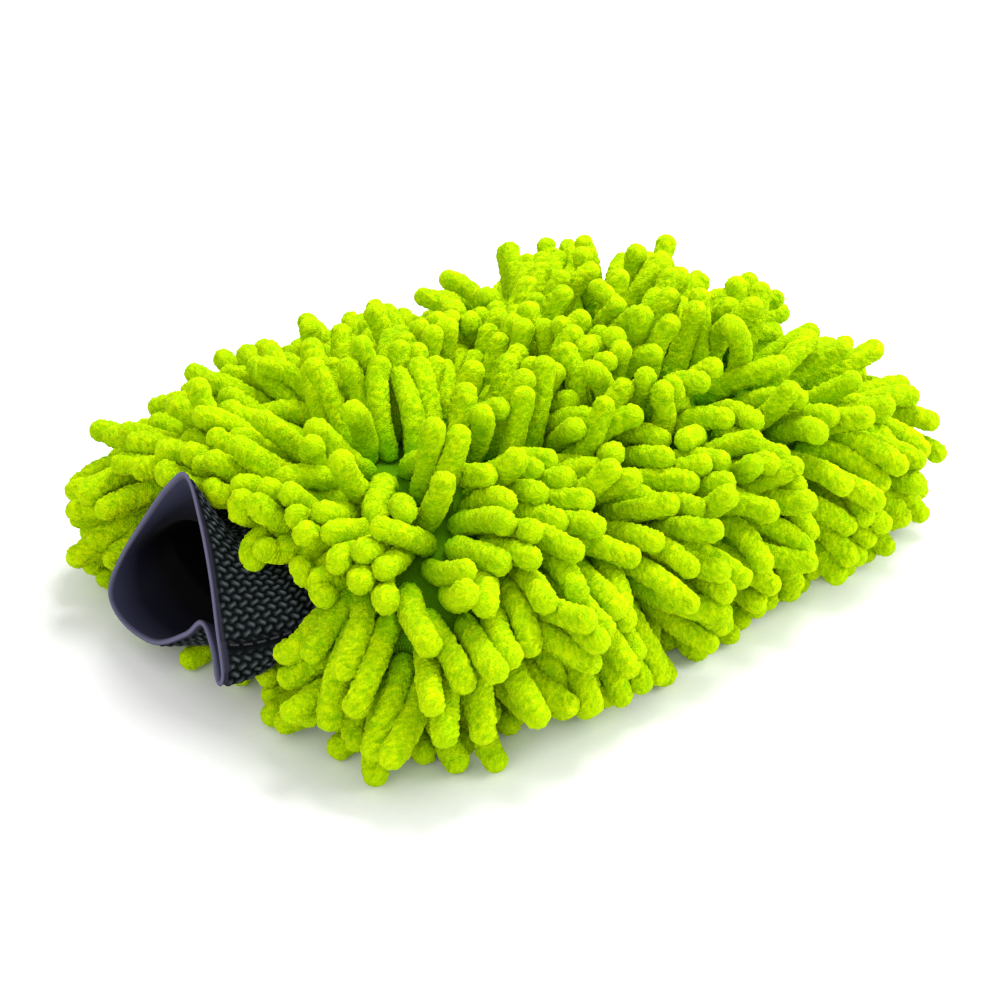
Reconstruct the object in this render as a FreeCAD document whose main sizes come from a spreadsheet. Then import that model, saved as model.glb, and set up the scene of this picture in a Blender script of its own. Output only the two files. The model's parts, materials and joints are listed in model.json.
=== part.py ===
import FreeCAD, Part
import math
import os
from FreeCAD import Placement, Rotation, Vector

# Chenille wash mitt, lying on its lower face.
# +X runs from the wrist to the finger end, +Y across the mitt and +Z up.
# The origin is under the middle of the mitt, on the surface it lies on.

DIMENSIONS = [
    # alias, value in mm, what it is
    ("body_centre_x", 0.5, "middle of the sewn body along X"),
    ("body_half_length", 110.5, "middle of the body to the finger end's seam"),
    ("body_half_width", 80.0, "middle of the body to the side seam"),
    ("seam_height", 31.0, "height of the side seam"),
    ("crown_rise", 17.5, "mean rise of the top fabric over the seam"),
    ("hump_rise", 3.0, "swing of the top fabric's humps about that mean"),
    ("belly_drop", 17.0, "drop of the bottom fabric under the seam"),
    ("finger_half_width", 39.0, "half width of the blunt finger end"),
    ("finger_half_height", 5.0, "half height of the blunt finger end"),
    ("mouth_half_width", 41.7, "half width of the body's mouth, outside"),
    ("mouth_half_height", 21.8, "half height of the body's mouth, outside"),
    ("backing_thickness", 2.2, "knitted backing"),
    ("lining_thickness", 1.2, "inner lining"),
    ("layer_gap", 0.4, "air between backing and lining"),
    ("seam_gap", 0.1, "half of the joint between top and bottom fabric"),
    ("lining_setback", 9.0, "body's mouth to the lining's front edge"),
    ("overlock_width", 6.0, "overlocked edge, seam to free side"),
    ("overlock_thickness", 1.8, "overlocked edge"),
    ("cuff_thickness", 2.0, "woven elastic"),
    ("cuff_end_half_width", 36.4, "cuff at the body, to mid thickness"),
    ("cuff_end_half_height", 15.9, "cuff at the body, to mid thickness"),
    ("cuff_tuck", 1.0, "cuff's reach into the body's mouth"),
    ("cuff_collar", 8.0, "straight part of the cuff in front of the body"),
    ("cuff_lip_x", -134.0, "middle of the cuff's free edge along X"),
    ("cuff_lip_tilt", 13.0, "lean of the cuff's free edge, degrees"),
    ("cuff_sag", 3.0, "sag of the cuff's underside, halfway to its free edge"),
    ("stitch_diameter", 0.7, "sewing thread, as laid"),
    ("stitch_length", 3.0, "one visible stitch"),
    ("stitch_lift", 0.6, "lap stitches' clearance from the elastic"),
    ("noodle_diameter", 7.6, "chenille noodle"),
    ("noodle_length", 30.0, "chenille noodle, end to end"),
    ("noodle_pitch", 10.3, "least distance from root to root"),
    ("noodle_gap", 0.15, "air between a noodle's root and the backing"),
]

OUTLINE_POWER = 7.0        # squareness of the body's outline seen from above
PROFILE_POWER = 6.0        # squareness of the crown seen from the side
STATION_COUNT = 17         # sections of each fabric loft
STATION_CROWDING = 0.5     # below 1 the sections crowd towards both ends
MOUTH_HEM = 1.2            # width of the hem round the mouth, over the backing's thickness
HUMP_PITCH = 130.0         # hump to hump along X
HUMP_X = -68.0             # the hump behind the cuff
FULL_TURN = 2 * math.pi

# The cuff's free edge at mid thickness, as (y, z) in its leaning plane, z from the
# seam's height: a teardrop whose lower near side is pushed up into a fold.
CUFF_LIP = [
    (7.0, 37.0), (-2.5, 26.5), (-10.5, 13.0), (-17.0, -2.0), (-22.5, -14.5),
    (-20.5, -18.0), (-15.5, -9.0), (-9.0, -4.0), (-1.5, -11.5), (14.0, -21.5),
    (32.0, -23.0), (41.5, -17.0), (37.5, -3.0), (26.5, 15.0), (15.5, 30.5),
]
CUFF_SECTIONS = 4          # sections from the collar to the free edge
LOOP_COUNT = 40            # points round each section of the cuff
LAP_SHARE = 0.24           # where the elastic's ends lap, as a share of the loop
LAP_START = 0.4            # start of the lap's stitches, as a share of the way out
LAP_PLACES = 12            # places where their line is read off the cuff
LAP_MARGIN = 0.3           # the lap's first stitch, in stitch pitches from the collar
STITCH_PITCH = 1.4         # start to start of two stitches, over the stitch length

ROW_COUNT = 21             # rows of noodles on each face
SCAN_LINES = 150           # trial lines over the body's length
SCAN_STEP = 1.3            # trial step along a line
SCAN_BULGE = 1.2           # length of a line over the body's width
FINGER_ROW_RISE = 0.6      # the blunt end's noodles above or below the seam, over its height
NEIGHBOURS = 90            # newest noodles that a trial is compared with
AXIS_TESTS = 8             # places along a noodle where its clearance is tested
OUTWARD_LEAN = 0.45        # lean of the outermost noodles away from the middle
DROOP = 0.35               # sag of the outermost top noodles
CUFF_ZONE_Y = (46.0, 62.0)   # from where to where the noodles' lean to the wrist returns
CUFF_ZONE_X = (12.0, 45.0)   # the same, behind the mouth

doc = FreeCAD.newDocument("wash_mitt")


def make_sheet():
    """Put the driving dimensions in a spreadsheet."""
    sheet = doc.addObject("Spreadsheet::Sheet", "Dims")
    for row, (alias, value, meaning) in enumerate(DIMENSIONS, start=1):
        sheet.set("A%d" % row, alias)
        sheet.set("B%d" % row, str(value))
        sheet.set("C%d" % row, meaning)
        sheet.setAlias("B%d" % row, alias)
    doc.recompute()
    return sheet


sheet = make_sheet()
dim = {alias: float(sheet.get(alias)) for alias, _, _ in DIMENSIONS}


def outline_ratio(half_width):
    """Distance from the middle, over the half length, where the body is that wide."""
    share = (half_width / dim["body_half_width"]) ** OUTLINE_POWER
    return (1.0 - share) ** (1.0 / OUTLINE_POWER)


MOUTH_RATIO = -outline_ratio(dim["mouth_half_width"])
FINGER_RATIO = outline_ratio(dim["finger_half_width"])


def body_x(ratio):
    return dim["body_centre_x"] + dim["body_half_length"] * ratio


MOUTH_X = body_x(MOUTH_RATIO)
FINGER_X = body_x(FINGER_RATIO)


def width_factor(ratio):
    """Half width at a section, over the body's half width."""
    return (1.0 - abs(ratio) ** OUTLINE_POWER) ** (1.0 / OUTLINE_POWER)


def fullness(ratio):
    """1 over the body, falling to 0 at its mouth and at its finger end."""
    end_ratio = FINGER_RATIO if ratio > 0 else MOUTH_RATIO
    return math.sqrt(max(0.0, 1.0 - abs(ratio / end_ratio) ** PROFILE_POWER))


def hump(ratio):
    """1 on a hump and -1 in a dip of the top fabric."""
    return math.cos(FULL_TURN * (body_x(ratio) - HUMP_X) / HUMP_PITCH)


def end_height_alias(ratio):
    return "finger_half_height" if ratio > 0 else "mouth_half_height"


def station_ratios():
    """Section positions, closer together towards both ends."""
    ratios = []
    for index in range(STATION_COUNT):
        share = 2.0 * index / (STATION_COUNT - 1) - 1.0
        end_ratio = FINGER_RATIO if share > 0 else -MOUTH_RATIO
        spread = math.sin(abs(share) * math.pi / 2) ** STATION_CROWDING
        ratios.append(math.copysign(spread * end_ratio, share))
    return ratios


ACROSS = Rotation(Vector(0, 1, 0), Vector(0, 0, 1), Vector(1, 0, 0), "XYZ")


def fabric_form(name, is_top, inset):
    """Closed form of one face at a depth of inset under its outer surface."""
    sections = []
    for index, ratio in enumerate(station_ratios()):
        section = doc.addObject("Part::Ellipse", "%s_section_%d" % (name, index))
        middle = "Dims.belly_drop"
        if is_top:
            middle = "(Dims.crown_rise + Dims.hump_rise * %.5f)" % hump(ratio)
        end_height = "Dims." + end_height_alias(ratio)
        section.setExpression("MajorRadius", "Dims.body_half_width * %.6f - (%s)"
                              % (width_factor(ratio), inset))
        section.setExpression("MinorRadius", "%s + (%s - %s) * %.6f - (%s)"
                              % (end_height, middle, end_height, fullness(ratio), inset))
        section.Placement = Placement(Vector(0, 0, 0), ACROSS)
        section.setExpression("Placement.Base.x",
                              "Dims.body_centre_x + (Dims.body_half_length - (%s)) * %.6f"
                              % (inset, ratio))
        section.setExpression("Placement.Base.z", "Dims.seam_height")
        sections.append(section)
    form = doc.addObject("Part::Loft", name + "_form")
    form.Sections = sections
    form.Solid = True
    form.Ruled = False
    return form


def face_space(name, is_top, front_x):
    """Everything above or below the seam, behind front_x."""
    space = doc.addObject("Part::Box", name + "_space")
    space.setExpression("Length", "4 * Dims.body_half_length")
    space.setExpression("Width", "4 * Dims.body_half_width")
    space.setExpression("Height", "4 * Dims.mouth_half_height")
    space.setExpression("Placement.Base.x", front_x)
    space.setExpression("Placement.Base.y", "-2 * Dims.body_half_width")
    low = "Dims.seam_height + Dims.seam_gap"
    if not is_top:
        low = "Dims.seam_height - Dims.seam_gap - 4 * Dims.mouth_half_height"
    space.setExpression("Placement.Base.z", low)
    return space


def mouth_bore(name):
    """Oval way through the front of the fabric, where the cuff comes in."""
    ends = []
    for index, side in enumerate((-1, 1)):
        end = doc.addObject("Part::Ellipse", "%s_mouth_%d" % (name, index))
        end.setExpression("MajorRadius", "Dims.mouth_half_width - %.1f * Dims.backing_thickness"
                          % MOUTH_HEM)
        end.setExpression("MinorRadius", "Dims.mouth_half_height - %.1f * Dims.backing_thickness"
                          % MOUTH_HEM)
        end.Placement = Placement(Vector(0, 0, 0), ACROSS)
        end.setExpression("Placement.Base.x", "%.4f + %d * 2 * Dims.backing_thickness"
                          % (MOUTH_X, side))
        end.setExpression("Placement.Base.z", "Dims.seam_height")
        ends.append(end)
    bore = doc.addObject("Part::Loft", name + "_mouth")
    bore.Sections = ends
    bore.Solid = True
    bore.Ruled = True
    return bore


def cut(name, base, tool):
    result = doc.addObject("Part::Cut", name)
    result.Base = base
    result.Tool = tool
    return result


def fabric_layer(name, is_top, outer_inset, inner_inset, front_x):
    """One layer of one face: outer form less inner form, on its side of the seam."""
    outer = fabric_form(name + "_outer", is_top, outer_inset)
    inner = fabric_form(name + "_inner", is_top, inner_inset)
    shell = cut(name + "_shell", outer, inner)
    open_shell = cut(name + "_open_shell", shell, mouth_bore(name))
    layer = doc.addObject("Part::Common", name)
    layer.Base = open_shell
    layer.Tool = face_space(name, is_top, front_x)
    layer.Label = name
    return layer, outer


def body_outline(inset):
    """Both sides of the seam's outline, moved inwards, from mouth to finger end and back."""
    far_side = []
    for ratio in station_ratios():
        x = dim["body_centre_x"] + (dim["body_half_length"] - inset) * ratio
        far_side.append(Vector(x, dim["body_half_width"] * width_factor(ratio) - inset, 0))
    near_side = [Vector(point.x, -point.y, 0) for point in reversed(far_side)]
    return far_side, near_side


def smooth_edge(points):
    curve = Part.BSplineCurve()
    curve.interpolate(points)
    return curve.toShape()


def perimeter_overlock():
    """Overlocked edge: a flat band inside the seam, open at the mouth."""
    clear = dim["backing_thickness"] + dim["layer_gap"] + dim["lining_thickness"]
    outer_far, outer_near = body_outline(clear + 2 * dim["layer_gap"])
    depth = clear + 2 * dim["layer_gap"] + dim["overlock_width"]
    inner_far, inner_near = body_outline(depth)
    front = MOUTH_X + dim["lining_setback"]
    edges = [
        smooth_edge(outer_far),
        Part.makeLine(outer_far[-1], outer_near[0]),
        smooth_edge(outer_near),
        Part.makeLine(outer_near[-1], inner_near[-1]),
        smooth_edge(inner_near),
        Part.makeLine(inner_near[0], inner_far[-1]),
        smooth_edge(inner_far),
        Part.makeLine(inner_far[0], outer_far[0]),
    ]
    band = Part.Face(Part.Wire(edges))
    solid = band.extrude(Vector(0, 0, dim["overlock_thickness"]))
    length = 2 * dim["body_half_length"]
    width = 2 * dim["body_half_width"]
    space = Part.makeBox(length, width, dim["overlock_thickness"], Vector(front, -width / 2, 0))
    overlock = doc.addObject("Part::Feature", "perimeter_overlock")
    overlock.Shape = solid.common(space)
    low = dim["seam_height"] - dim["overlock_thickness"] / 2
    overlock.Placement = Placement(Vector(0, 0, low), Rotation())
    return overlock


def rounded_rod(start, direction, reach, diameter):
    """Rod with round ends, whose end centres are start and start + direction * reach."""
    radius = diameter / 2
    lean = radius * math.sqrt(0.5)
    low_side = Vector(radius, 0, 0)
    high_side = Vector(radius, 0, reach)
    low_pole = Vector(0, 0, -radius)
    high_pole = Vector(0, 0, reach + radius)
    profile = Part.Wire([
        Part.Arc(low_pole, Vector(lean, 0, -lean), low_side).toShape(),
        Part.makeLine(low_side, high_side),
        Part.Arc(high_side, Vector(lean, 0, reach + lean), high_pole).toShape(),
        Part.makeLine(high_pole, low_pole),
    ])
    rod = Part.Face(profile).revolve(Vector(0, 0, 0), Vector(0, 0, 1), 360)
    rod.Placement = Placement(start, Rotation(Vector(0, 0, 1), direction))
    return rod


def add_group(name, solids):
    """One sub-part made of separate equal pieces."""
    group = doc.addObject("Part::Feature", name)
    group.Shape = Part.makeCompound(solids)
    return group


# ---- cuff ----

def loop_points(curve, count):
    """Points at equal distances along a closed curve."""
    edge = curve.toShape()
    step = edge.Length / count
    return [curve.value(curve.parameterAtDistance(step * index, curve.FirstParameter))
            for index in range(count)]


def closed_curve(points):
    curve = Part.BSplineCurve()
    curve.interpolate(Points=points, PeriodicFlag=True)
    return curve


def collar_loop(x, count):
    """Mid thickness of the cuff where it meets the body, from its top towards -Y."""
    half_width = dim["cuff_end_half_width"]
    half_height = dim["cuff_end_half_height"]
    points = []
    for index in range(count):
        angle = FULL_TURN * index / count
        y = -half_width * math.sin(angle)
        z = dim["seam_height"] + half_height * math.cos(angle)
        points.append(Vector(x, y, z))
    return loop_points(closed_curve(points), count)


def lip_loop(count):
    """Mid thickness of the cuff's free edge, from its top towards -Y."""
    tilt = math.radians(dim["cuff_lip_tilt"])
    points = []
    for y, height in CUFF_LIP:
        x = dim["cuff_lip_x"] + height * math.sin(tilt)
        z = dim["seam_height"] + height * math.cos(tilt)
        points.append(Vector(x, y, z))
    return loop_points(closed_curve(points), count)


def offset_loop(points, distance):
    """The loop moved outwards by distance, square to itself."""
    count = len(points)
    centre = Vector(0, 0, 0)
    for point in points:
        centre += point / count
    normal = Vector(0, 0, 0)
    for index, point in enumerate(points):
        normal += (point - centre).cross(points[(index + 1) % count] - centre)
    normal.normalize()
    moved = []
    for index, point in enumerate(points):
        along = points[(index + 1) % count] - points[index - 1]
        outward = along.cross(normal)
        outward.normalize()
        moved.append(point + outward * distance)
    return moved


def sagged(point, share):
    """The point let down under the seam's height, most halfway to the free edge."""
    depth = (dim["seam_height"] - point.z) / dim["cuff_end_half_height"]
    sag = dim["cuff_sag"] * math.sin(math.pi * share) * min(1.0, max(0.0, depth))
    return point - Vector(0, 0, sag)


def cuff_loops():
    """Mid-thickness loops of the cuff, from inside the body's mouth to the free edge."""
    back = collar_loop(MOUTH_X + dim["cuff_tuck"], LOOP_COUNT)
    collar = collar_loop(MOUTH_X - dim["cuff_collar"], LOOP_COUNT)
    lip = lip_loop(LOOP_COUNT)
    middle = [(back[i] + collar[i]) / 2 for i in range(LOOP_COUNT)]
    loops = [back, middle, collar]
    for section in range(1, CUFF_SECTIONS + 1):
        share = section / CUFF_SECTIONS
        loops.append([sagged(collar[i] + (lip[i] - collar[i]) * share, share)
                      for i in range(LOOP_COUNT)])
    return loops


def cuff_side(loops, distance):
    wires = [Part.Wire([closed_curve(offset_loop(loop, distance)).toShape()])
             for loop in loops]
    return Part.makeLoft(wires, True, False)


def cuff_band(loops):
    half = dim["cuff_thickness"] / 2
    band = doc.addObject("Part::Feature", "cuff_band")
    band.Shape = cuff_side(loops, half).cut(cuff_side(loops, -half))
    return band


def cuff_lap_stitching(loops):
    """Stitches along the lap, on the outer face from the collar to the free edge."""
    lift = dim["cuff_thickness"] / 2 + dim["stitch_diameter"] / 2 + dim["stitch_lift"]
    wall = max(cuff_side(loops, lift).Faces, key=lambda face: face.Area).Surface
    around_low, around_high, out_low, out_high = wall.bounds()
    around = around_low + (around_high - around_low) * LAP_SHARE
    path = []
    for step in range(LAP_PLACES + 1):
        share = LAP_START + (1 - LAP_START) * step / LAP_PLACES
        path.append(wall.value(around, out_low + (out_high - out_low) * share))
    curve = Part.BSplineCurve()
    curve.interpolate(path)
    length = curve.length()
    pitch = dim["stitch_length"] * STITCH_PITCH
    reach = dim["stitch_length"] - dim["stitch_diameter"]
    solids = []
    for number in range(int(length / pitch)):
        distance = pitch * (number + LAP_MARGIN)
        start = curve.value(curve.parameterAtDistance(distance, 0.0))
        stop = curve.value(curve.parameterAtDistance(distance + reach, 0.0))
        direction = stop - start
        solids.append(rounded_rod(start, direction, direction.Length, dim["stitch_diameter"]))
    return add_group("cuff_lap_stitching", solids)


# ---- fabric body ----

def mouth_stitching():
    """Stitches round the body's mouth that hold it to the cuff."""
    half_width = dim["mouth_half_width"] - dim["backing_thickness"] / 2
    half_height = dim["mouth_half_height"] - dim["backing_thickness"] / 2
    x = MOUTH_X - dim["stitch_diameter"] / 2 - dim["seam_gap"]
    ring = []
    for index in range(LOOP_COUNT):
        angle = FULL_TURN * index / LOOP_COUNT
        y = half_width * math.cos(angle)
        z = dim["seam_height"] + half_height * math.sin(angle)
        ring.append(Vector(x, y, z))
    curve = closed_curve(ring)
    count = int(curve.length() / (STITCH_PITCH * dim["stitch_length"]))
    starts = loop_points(curve, 2 * count)
    solids = []
    for number in range(count):
        start = starts[2 * number]
        direction = starts[2 * number + 1] - start
        solids.append(rounded_rod(start, direction, direction.Length, dim["stitch_diameter"]))
    return add_group("mouth_stitching", solids)


# ---- noodles ----

def ramp(value, limits):
    """0 below the first limit, 1 above the second, and straight between them."""
    return min(1.0, max(0.0, (value - limits[0]) / (limits[1] - limits[0])))


def noodle_direction(root, normal, is_top):
    """Way that a noodle points: off the fabric, and away from the middle near the edge.

    Over the cuff it keeps off the cuff's travel, so nothing leans towards the wrist.
    """
    across = Vector((root.x - dim["body_centre_x"]) / dim["body_half_length"],
                    root.y / dim["body_half_width"], 0)
    edge_share = min(1.0, across.x ** 4 + across.y ** 4)
    wrist_lean = max(ramp(abs(root.y), CUFF_ZONE_Y), ramp(root.x - MOUTH_X, CUFF_ZONE_X))
    direction = Vector(normal)
    if direction.x < 0:
        direction.x *= wrist_lean
    if across.x < 0:
        across.x *= wrist_lean
    if across.Length > 0:
        direction += across.normalize() * OUTWARD_LEAN * edge_share
    if is_top:
        direction.z = max(0.0, direction.z - DROOP * edge_share)
    return direction.normalize()


def noodle_axis(root, normal, is_top):
    """Both end centres of a noodle, shortened where the surface under the mitt stops it."""
    radius = dim["noodle_diameter"] / 2
    start = root + normal * (radius + dim["noodle_gap"])
    direction = noodle_direction(root, normal, is_top)
    reach = dim["noodle_length"] - 2 * radius
    if direction.z < 0:
        reach = min(reach, (start.z - radius) / -direction.z)
    return start, start + direction * reach


def point_to_axis(point, axis):
    """Distance from a point to a noodle's axis."""
    start, stop = axis
    along = stop - start
    share = (point - start).dot(along) / along.dot(along)
    return point.distanceToPoint(start + along * min(1.0, max(0.0, share)))


def is_clear(axis, others):
    """True when a noodle touches none of the others at any of the places tested."""
    start, stop = axis
    clear = dim["noodle_diameter"] + dim["noodle_gap"]
    for place in range(AXIS_TESTS + 1):
        point = start + (stop - start) * (place / AXIS_TESTS)
        if any(point_to_axis(point, other) < clear for other in others):
            return False
    return True


def sewn_roots(surface, is_top, taken):
    """Roots of one face's noodles, as close as the pitch lets them be.

    Each line is filled from both seams, so that the noodles along the seams come first.
    """
    first_u = 0.0 if is_top else 0.5
    steps = int(2 * dim["body_half_width"] * SCAN_BULGE / SCAN_STEP)
    front = MOUTH_X + dim["noodle_diameter"] / 2 + 2 * dim["stitch_diameter"]
    roots = []
    for line in range(SCAN_LINES + 1):
        along = line / SCAN_LINES
        for step in [side for pair in range(1, steps // 2) for side in (pair, steps - pair)]:
            around = first_u + 0.5 * step / steps
            root = surface.value(around, along)
            if root.x < front:
                continue
            nearby = taken + [other for other, _ in roots[-NEIGHBOURS:]]
            if any(root.distanceToPoint(other) < dim["noodle_pitch"] for other in nearby):
                continue
            normal = surface.normal(around, along)
            if normal.dot(Vector(0, root.y, root.z - dim["seam_height"])) < 0:
                normal = -normal
            roots.append((root, normal))
    return roots


def finger_end_roots(is_top, sewn):
    """Roots on the blunt finger end, set alternately above and below the seam."""
    side = 1 if is_top else -1
    pitch = dim["noodle_pitch"]
    reach = dim["finger_half_width"] - pitch / 2
    count = int(reach / pitch)
    roots = []
    for index in range(-count, count + 1):
        if index % 2 == (0 if is_top else 1):
            z = dim["seam_height"] + side * dim["finger_half_height"] * FINGER_ROW_RISE
            root = Vector(FINGER_X, index * pitch, z)
            if all(root.distanceToPoint(other) >= pitch for other, _ in sewn):
                roots.append((root, Vector(1, 0, 0)))
    return roots


def clear_axes(roots, is_top, others):
    """Axes of the noodles on these roots that stay clear of each other and of the others."""
    axes = []
    for root, normal in roots:
        axis = noodle_axis(root, normal, is_top)
        if is_clear(axis, others + axes[-NEIGHBOURS:]):
            axes.append(axis)
    return axes


def noodle_rows(face_name, axes):
    """Rows of noodles across one face, numbered from the wrist."""
    rows = [[] for _ in range(ROW_COUNT)]
    row_pitch = (FINGER_X - MOUTH_X) / ROW_COUNT
    for start, stop in axes:
        along = stop - start
        rod = rounded_rod(start, along, along.Length, dim["noodle_diameter"])
        row = min(ROW_COUNT - 1, max(0, int((start.x - MOUTH_X) / row_pitch)))
        rows[row].append(rod)
    return [add_group("%s_noodle_row_%02d" % (face_name, number), solids)
            for number, solids in enumerate(rows, start=1)]


def all_noodles(top_surface, bottom_surface):
    """The noodles of both faces; the row along each seam belongs to the top face."""
    near_seam = dim["seam_height"] + dim["noodle_pitch"]
    top_roots = sewn_roots(top_surface, True, [])
    rim_roots = [root for root, _ in top_roots if root.z < near_seam]
    bottom_roots = sewn_roots(bottom_surface, False, rim_roots)
    top_roots += finger_end_roots(True, top_roots)
    top_axes = clear_axes(top_roots, True, [])
    rim_axes = [axis for axis in top_axes if axis[0].z < near_seam]
    bottom_roots += finger_end_roots(False, top_roots + bottom_roots)
    bottom_axes = clear_axes(bottom_roots, False, rim_axes)
    return noodle_rows("top", top_axes) + noodle_rows("bottom", bottom_axes)


def build():
    """Make every sub-part of the mitt."""
    thickness = "Dims.backing_thickness"
    lining_outside = "%s + Dims.layer_gap" % thickness
    lining_inside = "%s + Dims.lining_thickness" % lining_outside
    fabric_front = "Dims.body_centre_x - 1.5 * Dims.body_half_length"
    lining_front = "%.4f + Dims.lining_setback" % MOUTH_X
    top, top_form = fabric_layer("top_backing", True, "0", thickness, fabric_front)
    bottom, bottom_form = fabric_layer("bottom_backing", False, "0", thickness, fabric_front)
    top_lining, _ = fabric_layer("top_lining", True, lining_outside, lining_inside, lining_front)
    bottom_lining, _ = fabric_layer("bottom_lining", False, lining_outside, lining_inside,
                                    lining_front)
    doc.recompute()
    loops = cuff_loops()
    parts = [top, bottom, top_lining, bottom_lining]
    parts += [perimeter_overlock(), mouth_stitching()]
    parts += [cuff_band(loops), cuff_lap_stitching(loops)]
    parts += all_noodles(top_form.Shape.Faces[0].Surface, bottom_form.Shape.Faces[0].Surface)
    return parts


def check(parts):
    """Stop on a failed object or a bad shape."""
    for item in doc.Objects:
        if "Invalid" in item.State or "Error" in item.State:
            raise RuntimeError("failed object: %s" % item.Label)
    for part in parts:
        if part.Shape.isNull() or not part.Shape.isValid():
            raise RuntimeError("bad shape: %s" % part.Label)


def export(parts):
    os.makedirs("parts", exist_ok=True)
    for part in parts:
        part.Shape.exportStep("parts/%s.step" % part.Label)


subparts = build()
doc.recompute()
check(subparts)
export(subparts)
for part in subparts:
    box = part.Shape.BoundBox
    print("%-26s %3d solids %9.0f mm3  x %.1f..%.1f  y %.1f..%.1f  z %.1f..%.1f" % (
        part.Label, len(part.Shape.Solids), part.Shape.Volume,
        box.XMin, box.XMax, box.YMin, box.YMax, box.ZMin, box.ZMax))
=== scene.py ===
"""A chenille wash mitt: noodles, knitted fabric, elastic cuff and stitching, on a pale floor."""

import json
import math

import bpy
import numpy as np
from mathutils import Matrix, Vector, kdtree
from mathutils.bvhtree import BVHTree


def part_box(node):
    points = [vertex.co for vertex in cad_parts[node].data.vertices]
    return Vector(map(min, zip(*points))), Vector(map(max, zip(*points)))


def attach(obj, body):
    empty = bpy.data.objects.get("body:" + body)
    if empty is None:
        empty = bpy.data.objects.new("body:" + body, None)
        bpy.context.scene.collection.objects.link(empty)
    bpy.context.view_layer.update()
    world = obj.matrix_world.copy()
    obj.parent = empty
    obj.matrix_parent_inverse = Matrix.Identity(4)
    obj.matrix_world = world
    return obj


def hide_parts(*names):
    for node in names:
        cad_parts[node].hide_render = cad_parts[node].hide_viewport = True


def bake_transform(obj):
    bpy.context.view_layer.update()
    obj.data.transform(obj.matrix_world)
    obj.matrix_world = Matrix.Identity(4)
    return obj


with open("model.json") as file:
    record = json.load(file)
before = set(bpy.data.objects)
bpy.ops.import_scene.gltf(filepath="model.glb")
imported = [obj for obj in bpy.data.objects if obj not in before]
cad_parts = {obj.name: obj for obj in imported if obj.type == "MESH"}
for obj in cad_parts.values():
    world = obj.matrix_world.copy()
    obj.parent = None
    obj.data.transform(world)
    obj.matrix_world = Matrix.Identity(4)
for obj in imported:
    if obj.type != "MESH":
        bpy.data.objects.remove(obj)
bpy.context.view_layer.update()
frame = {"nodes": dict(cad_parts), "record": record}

MM = 0.001

# ---- places that the frame gives ----

BODY = "mitt_body"
HINGE = Vector(frame["record"]["behaviour"]["joints"][0]["pos_m"])
SEAM_Z = HINGE.z
MOUTH_X = HINGE.x


def node_arrays(name):
    """Corner places and triangles of a CAD node, with the corners at one place made one."""
    mesh = frame["nodes"][name].data
    mesh.calc_loop_triangles()
    places = np.empty(len(mesh.vertices) * 3)
    mesh.vertices.foreach_get("co", places)
    triangles = np.empty(len(mesh.loop_triangles) * 3, dtype=np.int64)
    mesh.loop_triangles.foreach_get("vertices", triangles)
    places = places.reshape(-1, 3)
    _, first, same = np.unique(np.round(places, 6), axis=0, return_index=True, return_inverse=True)
    return places[first], same.reshape(-1)[triangles].reshape(-1, 3)


def node_tree(name):
    """A CAD node's surface, ready for rays and nearest places."""
    places, triangles = node_arrays(name)
    return BVHTree.FromPolygons(places.tolist(), triangles.tolist())


def island_labels(count, triangles):
    """One number for each corner, the same all over one closed solid."""
    labels = np.arange(count)
    pairs = np.concatenate([triangles[:, [0, 1]], triangles[:, [1, 2]]])
    while True:
        low = np.minimum(labels[pairs[:, 0]], labels[pairs[:, 1]])
        merged = labels.copy()
        np.minimum.at(merged, pairs[:, 0], low)
        np.minimum.at(merged, pairs[:, 1], low)
        merged = merged[merged]
        if np.array_equal(merged, labels):
            return labels
        labels = merged


PROFILE_PLACES = 61
PROFILE_END = 0.3 * MM       # first and last place, in from the panel's ends
FAR = 1.0                    # a ray starts well outside the mitt, in metres


class FabricForm:
    """Half width and half heights of the sewn body at a place along X, read from the panels."""

    def __init__(self):
        top_tree = node_tree("top_backing")
        bottom_tree = node_tree("bottom_backing")
        low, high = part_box("top_backing")
        self.front = low.x
        self.back = high.x
        self.middle = (low.x + high.x) / 2
        self.half_length = (high.x - low.x) / 2
        self.half_width = high.y
        span = 1 - np.cos(np.linspace(0, math.pi, PROFILE_PLACES))
        self.x = low.x + PROFILE_END + span / 2 * (high.x - low.x - 2 * PROFILE_END)
        above_seam = SEAM_Z + 0.4 * MM
        self.width = np.array([
            self.hit(top_tree, (x, FAR, above_seam), (0, -1, 0)).y for x in self.x])
        self.rise = np.array([
            self.hit(top_tree, (x, 0, FAR), (0, 0, -1)).z - SEAM_Z for x in self.x])
        self.drop = np.array([
            SEAM_Z - self.hit(bottom_tree, (x, 0, -FAR), (0, 0, 1)).z for x in self.x])

    @staticmethod
    def hit(tree, start, direction):
        """Where a ray first meets the panel."""
        return tree.ray_cast(Vector(start), Vector(direction))[0]

    def sizes(self, x, above):
        """Half width at x, and the height above or below the seam."""
        width = np.interp(x, self.x, self.width)
        height = np.where(above, np.interp(x, self.x, self.rise), np.interp(x, self.x, self.drop))
        return width, height

    def push_out(self, points, clearance):
        """Points moved off the fabric until they are clearance away from it."""
        above = points[:, 2] >= SEAM_Z
        width, height = self.sizes(points[:, 0], above)
        y = points[:, 1] / width
        z = (points[:, 2] - SEAM_Z) / height
        level = np.sqrt(y * y + z * z) + 1e-9
        slope = np.stack([np.zeros_like(y), y / width / level, z / height / level], 1)
        steepness = np.linalg.norm(slope, axis=1) + 1e-9
        distance = (level - 1) / steepness
        inside_length = (points[:, 0] > self.front) & (points[:, 0] < self.back)
        short = np.where(inside_length, np.maximum(0.0, clearance - distance), 0.0)
        return points + slope / steepness[:, None] * short[:, None]


form = FabricForm()

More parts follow.
